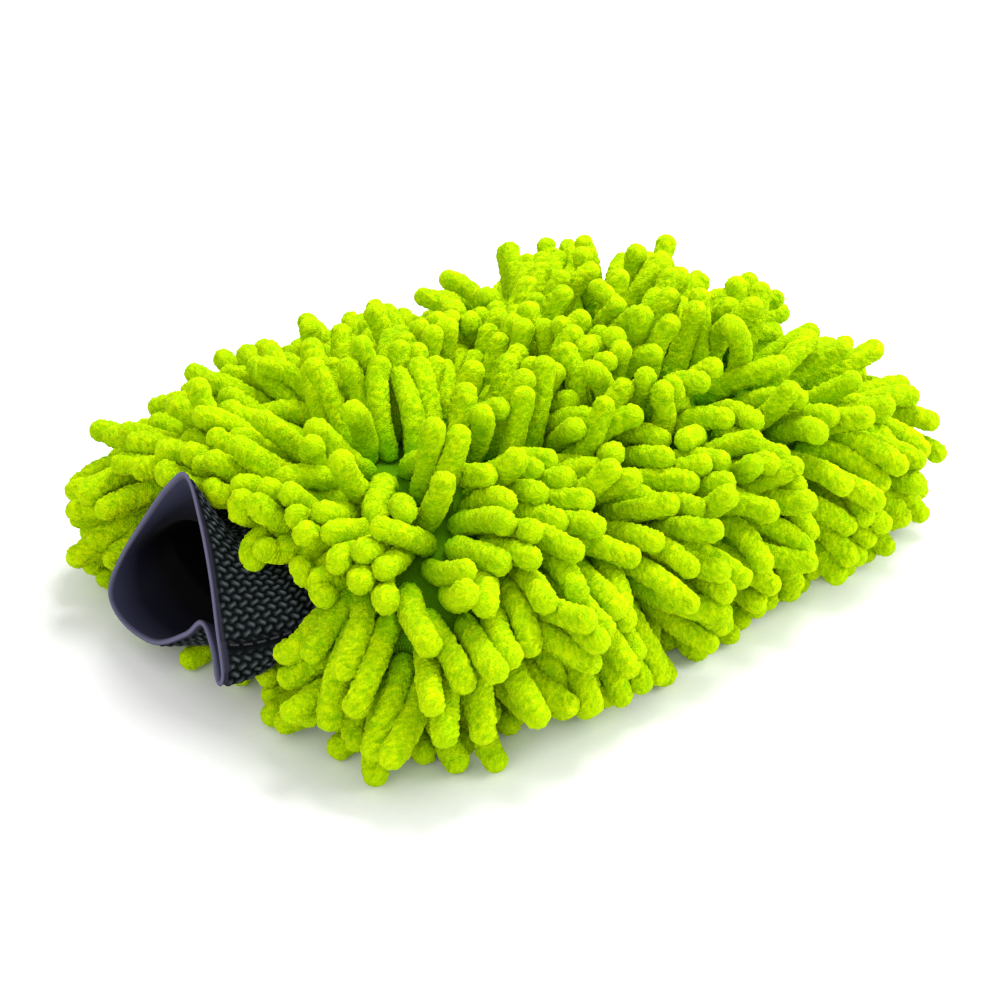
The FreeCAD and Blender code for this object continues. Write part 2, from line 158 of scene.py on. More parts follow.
# ---- the elastic's place, which the noodles keep to ----

BARE_CUFF = 8.0 * MM         # elastic left free behind its edge by the noodles above it
LIP_X = -134.0 * MM
LIP_TILT = math.radians(13.0)
CUFF_REACH = 14 * MM         # how near a noodle is before the elastic can push it
CUFF_RELIEF = 0.6 * MM
CUFF_CORE = np.array([-0.122, 0.012, SEAM_Z])
cuff_tree = node_tree("cuff_band")


def behind_edge(points):
    """The furthest forward that noodles reach over the elastic, along X."""
    return LIP_X + (points[:, 2] - SEAM_Z) * math.tan(LIP_TILT) + BARE_CUFF


# ---- noodles: where they lie ----

NOODLE_RADIUS = 3.75 * MM
NOODLE_LENGTH = (31.0 * MM, 36.0 * MM)
SHORTEST = 27.0 * MM         # noodles right at the mouth, above and below the elastic
MANE_ROOTS = (               # extra noodles over the near side of the elastic
    (-104.3, -14.0), (-104.3, -25.2), (-104.4, -36.4), (-104.8, -47.4), (-99.0, -42.0))
MANE_WAY = (-0.80, -0.42, 0.42)
LINE_POINTS = 9
SLIM_ROOT = 0.62             # a noodle's thickness at its root, as a share of its full one
SETTLE_STEPS = 90
PAIRS_EVERY = 10             # steps between two searches for neighbours
SAG = 0.12 * MM              # of a free end in one step
PUSH_SHARE = 0.42            # of an overlap that is pushed away in one step
STRAIGHTEN = 0.3             # share of its bend that a noodle gives up in one step
ROOT_HOLD = 1.5              # how firmly a noodle leaves its root the way it is combed
FILL_PITCH = 6.7 * MM
FILL_TRIALS = 60000
BOTTOM_BAND = 0.62           # share of the half width outside which the lower face is filled
BOTTOM_END = 22.0 * MM       # reach of that filling from the mouth and from the finger end
FRONT_REACH = 5.2 * MM       # behind the mouth, where the join to the elastic stays free
JOIN_LEVEL = 1.16            # how far out of the mouth's oval the join reaches
FLOOR_GAP = 1.2              # lowest centreline place above the floor, in noodle radii
CUFF_HALF_WIDTH = 48.0 * MM  # where that edge holds the noodles back
NEAR_MOUTH = 20.0 * MM       # roots above the mouth that are combed over the elastic
UNDER_MOUTH = 16.0 * MM      # the same below it, and the roots whose noodles are shortened
COMBED_WIDTH = 62.0 * MM
SHORT_WIDTH = 50.0 * MM
PARTINGS = (                 # middle, reach and strength of places the noodles lean away from
    ((-57.0, -8.0), 42.0, 1.5),
    ((27.0, 50.0), 26.0, 1.3),
    ((-24.0, -32.0), 13.0, 0.9),
    ((46.0, -31.0), 13.0, 0.9),
    ((-20.0, 45.0), 16.0, 0.8),
)
TOP_ROWS = sorted(n for n in frame["nodes"] if n.startswith("top_noodle_row"))
BOTTOM_ROWS = sorted(n for n in frame["nodes"] if n.startswith("bottom_noodle_row"))


def unit(vectors):
    """Vectors of length 1."""
    return vectors / (np.linalg.norm(vectors, axis=-1, keepdims=True) + 1e-12)


def inwardness(point):
    """How far out of the body's middle a place is, smaller further in."""
    return (((point[0] - form.middle) / form.half_length) ** 2
            + (point[1] / form.half_width) ** 2
            + ((point[2] - SEAM_Z) / form.rise.mean()) ** 2)


def row_axes(name):
    """Root end and free end of each noodle of a CAD row."""
    places, triangles = node_arrays(name)
    labels = island_labels(len(places), triangles)
    axes = []
    for label in np.unique(labels):
        solid = places[labels == label]
        centre = (solid.max(0) + solid.min(0)) / 2
        one = solid[np.argmax(np.linalg.norm(solid - centre, axis=1))]
        other = solid[np.argmax(np.linalg.norm(solid - one, axis=1))]
        root, tip = sorted((one, other), key=inwardness)
        axes.append((root, tip))
    return np.array(axes)


def outer_samples(node, random):
    """Random places on a panel's outer face, with the ways that face points."""
    places, triangles = node_arrays(node)
    corners = places[triangles]
    crossed = np.cross(corners[:, 1] - corners[:, 0], corners[:, 2] - corners[:, 0])
    area = np.linalg.norm(crossed, axis=1)
    pick = random.choice(len(triangles), FILL_TRIALS, p=area / area.sum())
    shares = random.dirichlet((1.0, 1.0, 1.0), FILL_TRIALS)
    points = np.einsum("nk,nkc->nc", shares, corners[pick])
    normals = unit(crossed[pick])
    core = points * np.array([0.85, 0.6, 0.0]) + np.array([0.0, 0.0, SEAM_Z])
    outward = ((points - core) * normals).sum(1) > 0
    in_seam = (np.abs(points[:, 2] - SEAM_Z) < 0.2 * MM) & (np.abs(normals[:, 2]) > 0.9)
    front = points[:, 0] < MOUTH_X + FRONT_REACH
    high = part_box("mouth_stitching")[1]
    level = np.hypot(points[:, 1] / high.y, (points[:, 2] - SEAM_Z) / (high.z - SEAM_Z))
    keep = outward & ~in_seam & ~(front & (level < JOIN_LEVEL))
    return points[keep], normals[keep]


def smooth_field(plan, random, wavelength, count=7):
    """A gentle random number over the plan, about -1 to 1."""
    total = np.zeros(len(plan))
    for _ in range(count):
        angle = random.uniform(0, 2 * math.pi)
        phase = random.uniform(0, 2 * math.pi)
        pitch = wavelength * random.uniform(0.7, 1.5)
        along = plan @ np.array([math.cos(angle), math.sin(angle)])
        total += np.sin(2 * math.pi * along / pitch + phase)
    return total / math.sqrt(count)


class Noodles:
    """Every noodle's centreline, settled as soft rods that push each other apart."""

    def __init__(self):
        self.random = np.random.default_rng(11)
        rows, roots, ways, tops = [], [], [], []
        for is_top, names in ((True, TOP_ROWS), (False, BOTTOM_ROWS)):
            for name in names:
                axes = row_axes(name)
                rows += [name] * len(axes)
                roots.append(axes[:, 0])
                ways.append(unit(axes[:, 1] - axes[:, 0]))
                tops += [is_top] * len(axes)
        self.rows = rows
        self.is_top = tops
        self.roots = list(np.concatenate(roots))
        self.ways = list(np.concatenate(ways))
        self.add_mane()
        self.fill("top_backing", True, TOP_ROWS)
        self.fill("bottom_backing", False, BOTTOM_ROWS)
        self.rows = np.array(self.rows)
        self.is_top = np.array(self.is_top)
        self.roots = np.array(self.roots)
        self.ways = np.array(self.ways)
        self.count = len(self.roots)
        self.length = self.random.uniform(*NOODLE_LENGTH, self.count)
        self.radii = NOODLE_RADIUS * self.random.uniform(0.93, 1.05, self.count)
        self.tint = self.random.uniform(0, 1, self.count)
        self.start_lines()
        self.settle()

    def add_mane(self):
        """Noodles that fall over the near side of the elastic."""
        for x, y in MANE_ROOTS:
            width, height = form.sizes(x * MM, True)
            level = SEAM_Z + height * math.sqrt(max(0.0, 1 - (y * MM / width) ** 2))
            self.rows.append(TOP_ROWS[0])
            self.is_top.append(True)
            self.roots.append(np.array([x * MM, y * MM, level]))
            self.ways.append(unit(np.array(MANE_WAY)))

    def fill(self, node, is_top, names):
        """Noodles in the gaps between the CAD rows' straight rods."""
        points, normals = outer_samples(node, self.random)
        if not is_top:
            visible = ((np.abs(points[:, 1]) > BOTTOM_BAND * form.half_width)
                       | (points[:, 0] < MOUTH_X + BOTTOM_END)
                       | (points[:, 0] > form.back - BOTTOM_END))
            points, normals = points[visible], normals[visible]
        row_pitch = (form.back - MOUTH_X) / len(names)
        taken = np.zeros((len(self.roots) + len(points), 3))
        taken[:len(self.roots)] = self.roots
        used = len(self.roots)
        for point, normal in zip(points, normals):
            if np.min(((taken[:used] - point) ** 2).sum(1)) < FILL_PITCH ** 2:
                continue
            taken[used] = point
            used += 1
            row = min(len(names) - 1, max(0, int((point[0] - MOUTH_X) / row_pitch)))
            self.rows.append(names[row])
            self.is_top.append(is_top)
            self.roots.append(point)
            self.ways.append(normal)

    def lean(self):
        """Where each noodle is combed to, beside the way its root points."""
        plan = self.roots[:, :2]
        lean = np.zeros_like(self.roots)
        for middle, reach, strength in PARTINGS:
            away = plan - np.array(middle) * MM
            distance = np.linalg.norm(away, axis=1, keepdims=True)
            lean[:, :2] += (away / (distance + 4 * MM) * strength
                            * np.exp(-(distance / (reach * MM)) ** 2))
        across = self.roots[:, 1] / form.half_width
        along = (self.roots[:, 0] - form.middle) / form.half_length
        lean[:, 1] += 0.9 * np.sign(across) * np.abs(across) ** 1.6
        lean[:, 0] += 0.9 * np.sign(along) * np.abs(along) ** 3
        edge = np.maximum(np.abs(across), np.abs(along))
        lean[:, 2] -= 0.9 * edge ** 2.2
        swirl = smooth_field(plan, self.random, 45 * MM)
        drift = smooth_field(plan, self.random, 38 * MM)
        lean[:, 0] += 0.30 * swirl
        lean[:, 1] += 0.30 * drift
        lean[~self.is_top] *= np.array([0.5, 0.5, 0.2])
        combed = np.abs(self.roots[:, 1]) < COMBED_WIDTH
        by_cuff = (self.roots[:, 0] < MOUTH_X + NEAR_MOUTH) & combed & self.is_top
        lean[by_cuff, 0] = -1.7
        lean[by_cuff, 2] -= 0.75
        under_cuff = (self.roots[:, 0] < MOUTH_X + UNDER_MOUTH) & combed & ~self.is_top
        lean[under_cuff, 0] = -0.9
        return lean + self.random.normal(0, 0.24, lean.shape)

    def start_lines(self):
        """Each noodle's first line: out of its root, then turned to where it is combed."""
        ways = unit(self.ways + self.lean())
        room = (self.roots[:, 0] - behind_edge(self.roots)) / np.maximum(0.3, -ways[:, 0])
        by_cuff = ((self.roots[:, 0] < MOUTH_X + UNDER_MOUTH)
                   & (np.abs(self.roots[:, 1]) < SHORT_WIDTH))
        shortened = np.clip(room, SHORTEST, self.length)
        self.length = np.where(by_cuff, shortened, self.length)
        self.rest_ways = unit(0.35 * self.ways + ways)
        steps = np.linspace(0, 1, LINE_POINTS)[None, :, None]
        reach = (self.length - NOODLE_RADIUS)[:, None, None]
        first = unit(self.ways)[:, None, :]
        turn = np.minimum(1, steps * 2.2)
        self.lines = self.roots[:, None, :] + reach * steps * (
            first * (1 - turn) + ways[:, None, :] * turn)
        self.segment = (self.length - NOODLE_RADIUS) / (LINE_POINTS - 1)
        curl = self.random.normal(0, 1, (self.count, 3))
        curl -= (curl * ways).sum(1, keepdims=True) * ways
        amount = self.random.gamma(2.0, 0.055, self.count)
        self.curl = unit(curl) * amount[:, None] + np.array([0, 0, -0.05])

    def neighbour_pairs(self, margin):
        """Numbers of the places on different noodles that lie close together."""
        points = self.lines.reshape(-1, 3)
        owner = np.repeat(np.arange(self.count), LINE_POINTS)
        tree = kdtree.KDTree(len(points))
        for index, point in enumerate(points):
            tree.insert(point, index)
        tree.balance()
        pairs = [(index, other) for index, point in enumerate(points)
                 for _, other, _ in tree.find_range(point, 2 * NOODLE_RADIUS + margin)
                 if other > index and owner[other] != owner[index]]
        return np.array(pairs)

    def push_apart(self, pairs):
        """Noodles that press into each other give way, most at their free ends."""
        points = self.lines.reshape(-1, 3)
        gap = points[pairs[:, 1]] - points[pairs[:, 0]]
        distance = np.linalg.norm(gap, axis=1)
        place = pairs % LINE_POINTS
        slim = SLIM_ROOT + (1 - SLIM_ROOT) * np.minimum(1.0, place / 2.0)
        wanted = NOODLE_RADIUS * 0.97 * slim.sum(1)
        short = np.maximum(0.0, wanted - distance)
        push = unit(gap) * (short * PUSH_SHARE)[:, None]
        moved = np.zeros_like(points)
        for axis in range(3):
            moved[:, axis] = (np.bincount(pairs[:, 1], push[:, axis], len(points))
                              - np.bincount(pairs[:, 0], push[:, axis], len(points)))
        share = np.linspace(0, 1, LINE_POINTS) ** 0.5
        moved *= np.tile(share, self.count)[:, None]
        self.lines = (points + moved).reshape(self.lines.shape)

    def stiffen(self):
        """Each noodle straightens towards its own gentle curl."""
        for k in range(2, LINE_POINTS):
            before = self.lines[:, k - 1] - self.lines[:, k - 2]
            ahead = self.lines[:, k - 1] + before + self.curl * self.segment[:, None]
            self.lines[:, k] += STRAIGHTEN * (ahead - self.lines[:, k])

    def keep_length(self):
        """Noodles stay sewn at their roots and keep their length."""
        self.lines[:, 0] = self.roots
        for k in range(1, LINE_POINTS):
            way = unit(self.lines[:, k] - self.lines[:, k - 1])
            if k == 1:
                way = unit(way + ROOT_HOLD * self.rest_ways)
            self.lines[:, k] = self.lines[:, k - 1] + way * self.segment[:, None]

    def keep_out(self):
        """Noodles stay out of the fabric, the floor and the elastic."""
        points = self.lines[:, 2:].reshape(-1, 3)
        points = form.push_out(points, NOODLE_RADIUS * 0.9)
        points[:, 2] = np.maximum(points[:, 2], NOODLE_RADIUS * FLOOR_GAP)
        by_cuff = np.abs(points[:, 1]) < CUFF_HALF_WIDTH
        held_back = np.maximum(points[:, 0], behind_edge(points))
        points[:, 0] = np.where(by_cuff, held_back, points[:, 0])
        for index in np.nonzero(points[:, 0] < MOUTH_X + 2 * MM)[0]:
            place, normal, _, distance = cuff_tree.find_nearest(Vector(points[index]))
            if distance > CUFF_REACH:
                continue
            inside = Vector(points[index] - CUFF_CORE).dot(normal) < 0
            offset = points[index] - np.array(place)
            depth = distance * (1.0 if offset @ np.array(normal) > 0 else -1.0)
            if inside:
                normal = -normal
                depth = -distance
            wanted = NOODLE_RADIUS * 0.95 + CUFF_RELIEF
            if depth < wanted:
                points[index] += np.array(normal) * (wanted - depth)
        self.lines[:, 2:] = points.reshape(self.lines[:, 2:].shape)

    def settle(self):
        """The noodles sag, press and give way until they lie as a pile."""
        weight = np.linspace(0, 1, LINE_POINTS) ** 2
        for step in range(SETTLE_STEPS):
            if step % PAIRS_EVERY == 0:
                pairs = self.neighbour_pairs(3 * MM)
            self.lines[:, :, 2] -= SAG * weight
            self.stiffen()
            self.push_apart(pairs)
            self.keep_out()
            self.keep_length()


# ---- noodles: their surface ----

RINGS = 48
CAP_RINGS = 5
SIDES = 28
ROOT_SINK = 0.8 * MM
PILE_HEIGHT = 0.56 * MM


def curve_weights(count, samples):
    """Weights of a smooth curve through count points, one row for each sample from 0 to 1."""
    weights = np.zeros((len(samples), count))
    for row, share in enumerate(samples):
        place = min(share * (count - 1), count - 1 - 1e-9)
        index = int(place)
        t = place - index
        cubic = (
            -0.5 * t + t * t - 0.5 * t ** 3,
            1 - 2.5 * t * t + 1.5 * t ** 3,
            0.5 * t + 2 * t * t - 1.5 * t ** 3,
            -0.5 * t * t + 0.5 * t ** 3,
        )
        for offset, value in enumerate(cubic):
            weights[row, min(max(index + offset - 1, 0), count - 1)] += value
    return weights


def pile_noise(random, count, rings, sides, around, along):
    """Smooth random bumps on each noodle's surface, closed round it, from -1 to 1."""
    grid = random.uniform(-1, 1, (count, along + 2, around))
    place_u = np.arange(sides) / sides * around
    place_v = np.linspace(0, along, rings)
    u0 = place_u.astype(int)
    v0 = place_v.astype(int)
    fu = place_u - u0
    fv = place_v - v0
    fu = fu * fu * (3 - 2 * fu)
    fv = (fv * fv * (3 - 2 * fv))[None, :, None]
    low = grid[:, v0][:, :, u0] * (1 - fu) + grid[:, v0][:, :, (u0 + 1) % around] * fu
    high = grid[:, v0 + 1][:, :, u0] * (1 - fu) + grid[:, v0 + 1][:, :, (u0 + 1) % around] * fu
    return low * (1 - fv) + high * fv


def noodle_surfaces(lines, radii, random):
    """Corner places (count, rings, sides, 3), poles (count, 2, 3) and pile height of noodles."""
    count = len(lines)
    body_rings = RINGS - CAP_RINGS
    centres = np.einsum("rk,nkc->nrc", curve_weights(lines.shape[1], np.linspace(0, 1, body_rings)),
                        lines)
    way = unit(centres[:, -1] - centres[:, -2])
    start_way = unit(centres[:, 1] - centres[:, 0])
    angles = np.linspace(0, math.pi / 2, CAP_RINGS + 2)[1:-1]
    caps = centres[:, -1:, :] + way[:, None] * radii[:, None, None] * np.sin(angles)[None, :, None]
    centres = np.concatenate([centres, caps], 1)
    tangents = unit(np.gradient(centres, axis=1))
    side = unit(np.cross(tangents[:, 0], np.array([0.3, 0.5, 0.81])))
    frames = np.empty((count, RINGS, 2, 3))
    for ring in range(RINGS):
        tangent = tangents[:, ring]
        side = unit(side - (side * tangent).sum(1, keepdims=True) * tangent)
        frames[:, ring, 0] = side
        frames[:, ring, 1] = np.cross(tangent, side)
    share = np.linspace(0, 1, body_rings)
    profile = SLIM_ROOT + (1 - SLIM_ROOT) * np.minimum(1, share / 0.14) ** 0.7
    profile = np.concatenate([profile, np.cos(angles)])
    swell = 1 + 0.07 * pile_noise(random, count, RINGS, SIDES, 3, 5)
    pile = 0.3 * pile_noise(random, count, RINGS, SIDES, 13, 18)
    pile += 0.7 * random.uniform(-1, 1, (count, RINGS, SIDES))
    pile *= np.sqrt(profile)[None, :, None]
    radius = radii[:, None, None] * profile[None, :, None] * swell + PILE_HEIGHT * pile
    turn = np.arange(SIDES) / SIDES * 2 * math.pi
    ring_way = (frames[:, :, None, 0] * np.cos(turn)[None, None, :, None]
                + frames[:, :, None, 1] * np.sin(turn)[None, None, :, None])
    surface = centres[:, :, None] + ring_way * radius[..., None]
    root_pole = centres[:, 0] - start_way * ROOT_SINK
    tip_pole = centres[:, -1] + way * (radii * (1 - math.sin(angles[-1])))[:, None]
    return surface, np.stack([root_pole, tip_pole], 1), pile


def tube_faces(rings, sides):
    """Quads of a closed tube's side, and triangles at its poles, as corner numbers."""
    ring, side = np.meshgrid(np.arange(rings - 1), np.arange(sides), indexing="ij")
    after = (side + 1) % sides
    quads = np.stack([ring * sides + side, ring * sides + after,
                      (ring + 1) * sides + after, (ring + 1) * sides + side], -1).reshape(-1, 4)
    spoke = np.arange(sides)
    root = np.stack([np.full(sides, rings * sides), (spoke + 1) % sides, spoke], 1)
    last = (rings - 1) * sides
    tip = np.stack([np.full(sides, rings * sides + 1), last + spoke, last + (spoke + 1) % sides], 1)
    return quads, np.concatenate([root, tip])


def new_mesh_object(name, places, quads, triangles, values, uvs):
    """A smooth mesh object from arrays, with one number per corner for each named value."""
    mesh = bpy.data.meshes.new(name)
    mesh.vertices.add(len(places))
    mesh.vertices.foreach_set("co", places.astype(np.float32).ravel())
    corners = np.concatenate([quads.ravel(), triangles.ravel()]).astype(np.int32)
    sizes = np.concatenate([np.full(len(quads), 4), np.full(len(triangles), 3)])
    mesh.loops.add(len(corners))
    mesh.loops.foreach_set("vertex_index", corners)
    mesh.polygons.add(len(sizes))
    starts = np.concatenate([[0], np.cumsum(sizes)[:-1]]).astype(np.int32)
    mesh.polygons.foreach_set("loop_start", starts)
    mesh.polygons.foreach_set("use_smooth", np.ones(len(sizes), dtype=bool))
    for key, value in values.items():
        attribute = mesh.attributes.new(key, "FLOAT", "POINT")
        attribute.data.foreach_set("value", value.astype(np.float32).ravel())
    layer = mesh.uv_layers.new(name="OFBake")
    layer.data.foreach_set("uv", uvs.astype(np.float32).ravel())
    mesh.update(calc_edges=True)
    mesh.validate()
    thing = bpy.data.objects.new(name, mesh)
    bpy.context.scene.collection.objects.link(thing)
    return thing


def noodle_uvs(count, quads, triangles):
    """Each noodle unrolled into its own cell of a square sheet."""
    columns = math.ceil(math.sqrt(count * 1.3))
    lines = math.ceil(count / columns)
    ring = np.arange(RINGS * SIDES) // SIDES
    side = np.arange(RINGS * SIDES) % SIDES
    u = np.concatenate([side / SIDES, [0.5, 0.5]])
    v = np.concatenate([(ring + 1) / (RINGS + 1), [0.0, 1.0]])
    quad_u = u[quads]
    quad_u[:, 1:3] = np.where(quad_u[:, 1:3] == 0, 1.0, quad_u[:, 1:3])
    tri_u = u[triangles]
    tri_u[:, 1:] = np.where((tri_u[:, 1:] == 0) & (tri_u[:, 1:].max(1, keepdims=True) > 0.5),
                            1.0, tri_u[:, 1:])
    tri_u[:, 0] = tri_u[:, 1:].mean(1)
    cell_u = np.concatenate([quad_u.ravel(), tri_u.ravel()]) * 0.96 + 0.02
    cell_v = np.concatenate([v[quads].ravel(), v[triangles].ravel()]) * 0.96 + 0.02
    cells = np.arange(count)
    all_u = (cell_u[None] + (cells % columns)[:, None]) / columns
    all_v = (cell_v[None] + (cells // columns)[:, None]) / lines
    return all_u, all_v, 4 * len(quads)


def noodle_piece(name, noodles, chosen):
    """One piece with the chosen noodles."""
    lines = noodles.lines[chosen]
    count = len(lines)
    surface, poles, pile = noodle_surfaces(lines, noodles.radii[chosen], noodles.random)
    places = np.concatenate([surface.reshape(count, -1, 3), poles], 1)
    quads, triangles = tube_faces(RINGS, SIDES)
    offsets = (np.arange(count) * (RINGS * SIDES + 2))[:, None, None]
    along = np.repeat(np.linspace(0, 1, RINGS), SIDES)
    along = np.tile(np.concatenate([along, [0, 1]]), count)
    height = np.concatenate([pile.reshape(count, -1), np.zeros((count, 2))], 1)
    tint = np.repeat(noodles.tint[chosen], RINGS * SIDES + 2)
    all_u, all_v, quad_corners = noodle_uvs(count, quads, triangles)
    uvs = np.concatenate([
        np.stack([all_u[:, :quad_corners].ravel(), all_v[:, :quad_corners].ravel()], 1),
        np.stack([all_u[:, quad_corners:].ravel(), all_v[:, quad_corners:].ravel()], 1)])
    return new_mesh_object(
        name, places.reshape(-1, 3), (quads[None] + offsets).reshape(-1, 4),
        (triangles[None] + offsets).reshape(-1, 3),
        {"pile": height, "along": along, "tint": tint}, uvs)


# ---- materials ----

WHITE = (1.0, 1.0, 1.0)


def new_material(name, colour, roughness, specular=0.15):
    """A material, its node tree and its shader, with the given flat values."""
    material = bpy.data.materials.new(name)
    material.use_nodes = True
    tree = material.node_tree
    shader = tree.nodes["Principled BSDF"]
    shader.inputs["Base Color"].default_value = (*colour, 1)
    shader.inputs["Roughness"].default_value = roughness
    shader.inputs["Specular IOR Level"].default_value = specular
    return material, tree, shader


def feed(tree, socket, value):
    """Gives a socket its value, or links it when the value is a socket too."""
    if isinstance(value, bpy.types.NodeSocket):
        tree.links.new(value, socket)
    else:
        socket.default_value = value


def add_node(tree, kind, **inputs):
    """A shader node with its sockets fed."""
    node = tree.nodes.new(kind)
    for key, value in inputs.items():
        feed(tree, node.inputs[key.replace("_", " ")], value)
    return node


def worked_out(tree, operation, *values):
    """A number worked out from others."""
    node = tree.nodes.new("ShaderNodeMath")
    node.operation = operation
    for socket, value in zip(node.inputs, values):
        feed(tree, socket, value)
    return node.outputs[0]


def attribute(tree, name):
    """A number that the mesh carries at each corner."""
    node = tree.nodes.new("ShaderNodeAttribute")
    node.attribute_name = name
    return node.outputs["Fac"]


def colour_ramp(tree, factor, stops):
    """A colour that follows a number from 0 to 1."""
    node = tree.nodes.new("ShaderNodeValToRGB")
    elements = node.color_ramp.elements
    while len(elements) < len(stops):
        elements.new(0.5)
    for element, (place, colour) in zip(elements, stops):
        element.position = place
        element.color = (*colour, 1)
    tree.links.new(factor, node.inputs["Fac"])
    return node.outputs["Color"]


def mixed(tree, factor, one, other, blend="MIX"):
    """Two colours mixed; each may be a value or a socket."""
    node = tree.nodes.new("ShaderNodeMix")
    node.data_type = "RGBA"
    node.blend_type = blend
    colours = [socket for socket in node.inputs if socket.type == "RGBA"]
    for socket, value in ((node.inputs["Factor"], factor), (colours[0], one), (colours[1], other)):
        feed(tree, socket, value)
    return next(socket for socket in node.outputs if socket.type == "RGBA")


def object_places(tree):
    """Places on the object's own axes, in metres."""
    return tree.nodes.new("ShaderNodeTexCoord").outputs["Object"]


def bump(tree, shader, height, strength, distance):
    """A fine relief on the shader."""
    node = add_node(tree, "ShaderNodeBump", Strength=strength, Distance=distance, Height=height)
    tree.links.new(node.outputs["Normal"], shader.inputs["Normal"])


LIME_HIGH = (0.80, 1.0, 0.0006)
# Painted shade: the darker lime given to the pile's sunk places.
LIME_HOLLOW_SHADE = (0.40, 0.74, 0.0005)
LIME_SHEEN = (0.85, 1.0, 0.02)


def chenille_material():
    """Fuzzy lime pile, with painted shade in the pile's hollows, between the tufts and towards the
    root.
    """
    material, tree, shader = new_material("chenille", LIME_HIGH, 0.95, specular=0.03)
    places = object_places(tree)
    tufts = add_node(tree, "ShaderNodeTexVoronoi", Vector=places, Scale=1450.0)
    fuzz = add_node(tree, "ShaderNodeTexNoise", Vector=places, Scale=3200.0, Detail=3.0,
                    Roughness=0.7)
    patches = add_node(tree, "ShaderNodeTexNoise", Vector=places, Scale=45.0, Detail=2.0)
    height = worked_out(tree, "MULTIPLY_ADD", tufts.outputs["Distance"], -0.9,
                        fuzz.outputs["Fac"])
    # Painted shade in the pile's hollows: the lower a place is sunk, the darker its lime.
    pile_shade = add_node(tree, "ShaderNodeMapRange", Value=attribute(tree, "pile"),
                      From_Min=-0.75, From_Max=0.55)
    colour = colour_ramp(tree, pile_shade.outputs["Result"], ((0.0, LIME_HOLLOW_SHADE), (1.0, LIME_HIGH)))
    for factor, stops in (
            # Painted shade towards each noodle's root, where the noodles crowd together.
            (attribute(tree, "along"), ((0.0, (0.46, 0.80, 0.50)), (0.40, WHITE))),
            (attribute(tree, "tint"), ((0.0, (0.88, 0.95, 0.9)), (1.0, WHITE))),
            (patches.outputs["Fac"], ((0.3, (0.88, 0.93, 0.9)), (0.7, WHITE))),
            # Painted shade between the tufts, darkest farthest from a tuft's middle.
            (tufts.outputs["Distance"], ((0.15, WHITE), (0.75, (0.80, 0.86, 0.8))))):
        colour = mixed(tree, 1.0, colour, colour_ramp(tree, factor, stops), "MULTIPLY")
    tree.links.new(colour, shader.inputs["Base Color"])
    bump(tree, shader, height, 0.8, 0.9 * MM)
    shader.inputs["Sheen Weight"].default_value = 0.18
    shader.inputs["Sheen Roughness"].default_value = 0.45
    shader.inputs["Sheen Tint"].default_value = (*LIME_SHEEN, 1)
    return material


def knit_material(name, high, low):
    """Fine jersey knit: columns of small loops along the mitt."""
    material, tree, shader = new_material(name, high, 0.9, specular=0.03)
    places = object_places(tree)
    wales = add_node(tree, "ShaderNodeTexWave", Vector=places, Scale=440.0, Distortion=1.2,
                     Detail=1.0, Detail_Scale=1.5)
    wales.bands_direction = "Y"
    courses = add_node(tree, "ShaderNodeTexWave", Vector=places, Scale=560.0, Distortion=1.0,
                       Detail=1.0, Detail_Scale=1.5)
    courses.bands_direction = "X"
    loops = worked_out(tree, "MULTIPLY", wales.outputs["Fac"], courses.outputs["Fac"])
    fuzz = add_node(tree, "ShaderNodeTexNoise", Vector=places, Scale=1800.0, Detail=2.0)
    height = worked_out(tree, "MULTIPLY_ADD", fuzz.outputs["Fac"], 0.25, loops)
    colour = colour_ramp(tree, loops, ((0.0, low), (0.8, high)))
    tree.links.new(colour, shader.inputs["Base Color"])
    bump(tree, shader, height, 0.6, 0.4 * MM)
    return material


def elastic_material():
    """Dark navy elastic, smooth weave inside: painted highlights on the rib tops and painted shade
    between them, a painted lavender highlight on the rolled edge, and painted shade deepening
    inside.
    """
    material, tree, shader = new_material("cuff_elastic", (0.03, 0.033, 0.06), 0.72, specular=0.05)
    places = object_places(tree)
    weave = add_node(tree, "ShaderNodeTexWave", Vector=places, Scale=420.0, Distortion=0.6)
    weave.bands_direction = "DIAGONAL"
    fibres = add_node(tree, "ShaderNodeTexNoise", Vector=places, Scale=2600.0, Detail=3.0)
    height = worked_out(tree, "MULTIPLY_ADD", weave.outputs["Fac"], 0.5, fibres.outputs["Fac"])
    # Painted highlight on the rib tops and painted shade in the gaps between them.
    rib_light_and_shade = colour_ramp(tree, attribute(tree, "rib"),
                       ((0.0, (0.0002, 0.0004, 0.0005)), (0.55, (0.004, 0.006, 0.0065)),
                        (0.86, (0.026, 0.034, 0.036)), (1.0, (0.080, 0.096, 0.108))))
    # Painted highlight: lavender mixed in on the rolled edge, strongest on the roll's crest.
    colour = mixed(tree, attribute(tree, "edge"), rib_light_and_shade, (0.12, 0.115, 0.19, 1))
    # Painted shade: the inner face grows darker the deeper it goes into the cuff.
    inside_shade = colour_ramp(tree, attribute(tree, "inside"),
                       ((0.0, (0.026, 0.027, 0.052)), (0.18, (0.004, 0.0042, 0.010)),
                        (0.4, (0.0002, 0.0002, 0.0004))))
    is_inside = worked_out(tree, "GREATER_THAN", attribute(tree, "inside"), 0.001)
    colour = mixed(tree, is_inside, colour, inside_shade)
    tree.links.new(colour, shader.inputs["Base Color"])
    bump(tree, shader, height, 0.35, 0.25 * MM)
    shader.inputs["Sheen Weight"].default_value = 0.02
    shader.inputs["Sheen Roughness"].default_value = 0.4
    return material


